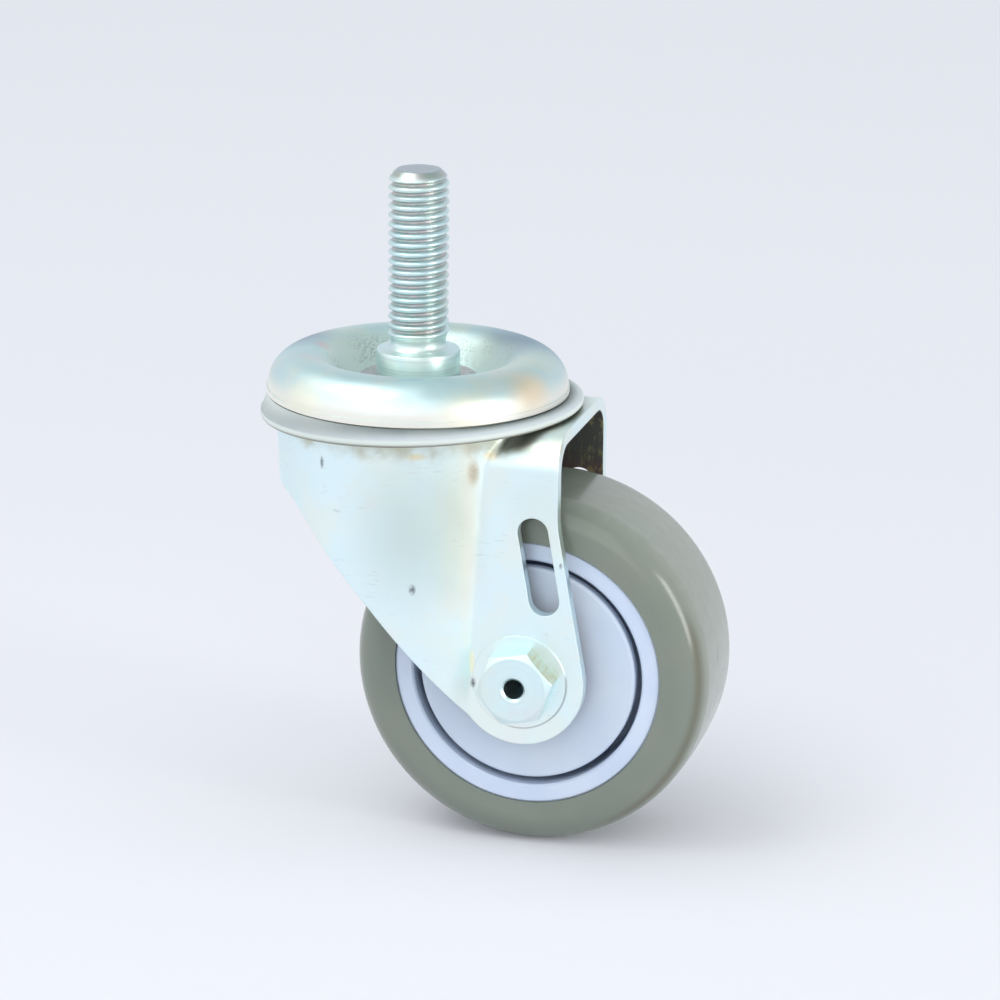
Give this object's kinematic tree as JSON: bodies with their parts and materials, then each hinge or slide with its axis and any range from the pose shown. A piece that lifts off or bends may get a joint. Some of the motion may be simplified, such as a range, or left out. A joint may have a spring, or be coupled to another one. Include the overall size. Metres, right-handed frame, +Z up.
{
  "type": "swivel castor",
  "caption": "Swivel castor on a threaded stem: a pressed steel fork turns under a raceway dish and carries a soft-tread wheel on ball bearings.",
  "frame": {"origin": "on the stem's axis at the collar's upper face, which seats under the host part", "axes": "+Z up the stem and away from the wheel, +X along the trail from the swivel axis to the wheel, Y along the axle"},
  "size_m": [0.0993, 0.068, 0.1405],
  "materials": {
    "zinc_turned": "bright zinc plating on turned steel",
    "zinc_mottled": "dull mottled zinc plating",
    "zinc_sheet": "bright zinc plating on pressed steel",
    "ball_steel": "polished bearing steel",
    "ring_steel": "ground bearing steel",
    "seal_grey": "matt flexible grey plastic",
    "core_plastic": "satin pale blue-grey plastic",
    "guard_plastic": "satin blue-grey plastic",
    "cage_plastic": "natural moulded plastic",
    "tread_grey": "glossy grey polyurethane"
  },
  "bodies": {
    "mount": {"threaded_stem": "zinc_turned", "stem_washer": "zinc_mottled", "upper_raceway_dish": "zinc_sheet", "lower_raceway_cup": "zinc_sheet"},
    "fork": {"fork": "zinc_sheet", "raceway_seal": "seal_grey", "axle_bolt": "zinc_turned", "nut_washer": "zinc_turned", "lock_nut": "zinc_turned", "bearing_spacer": "ring_steel", "left_thread_guard": "guard_plastic", "left_bearing_inner_ring": "ring_steel", "right_thread_guard": "guard_plastic", "right_bearing_inner_ring": "ring_steel"},
    "wheel": {"wheel_core": "core_plastic", "tread": "tread_grey", "left_bearing_outer_ring": "ring_steel", "left_bearing_outer_shield": "ring_steel", "left_bearing_inner_shield": "ring_steel", "right_bearing_outer_ring": "ring_steel", "right_bearing_outer_shield": "ring_steel", "right_bearing_inner_shield": "ring_steel"},
    "upper_ball_row": {"upper_balls": "ball_steel"},
    "lower_ball_row": {"lower_balls": "ball_steel"},
    "bearing_ball_sets": {"left_bearing_balls": "ball_steel", "left_bearing_cage": "cage_plastic", "right_bearing_balls": "ball_steel", "right_bearing_cage": "cage_plastic"}
  },
  "joints": [
    {"name": "swivel", "type": "hinge", "parent": "mount", "child": "fork", "pos_m": [0, 0, 0], "axis": [0, 0, 1], "continuous": true},
    {"name": "wheel_spin", "type": "hinge", "parent": "fork", "child": "wheel", "pos_m": [0.028, 0, -0.0643], "axis": [0, 1, 0], "continuous": true},
    {"name": "upper_ball_orbit", "type": "hinge", "parent": "mount", "child": "upper_ball_row", "pos_m": [0, 0, 0], "axis": [0, 0, 1], "continuous": true},
    {"name": "lower_ball_orbit", "type": "hinge", "parent": "mount", "child": "lower_ball_row", "pos_m": [0, 0, 0], "axis": [0, 0, 1], "continuous": true},
    {"name": "bearing_ball_orbit", "type": "hinge", "parent": "fork", "child": "bearing_ball_sets", "pos_m": [0.028, 0, -0.0643], "axis": [0, 1, 0], "continuous": true}
  ],
  "couplings": [
    {"joint": "upper_ball_orbit", "follows": "swivel", "ratio": 0.5},
    {"joint": "lower_ball_orbit", "follows": "swivel", "ratio": 0.5},
    {"joint": "bearing_ball_orbit", "follows": "wheel_spin", "ratio": 0.625}
  ]
}
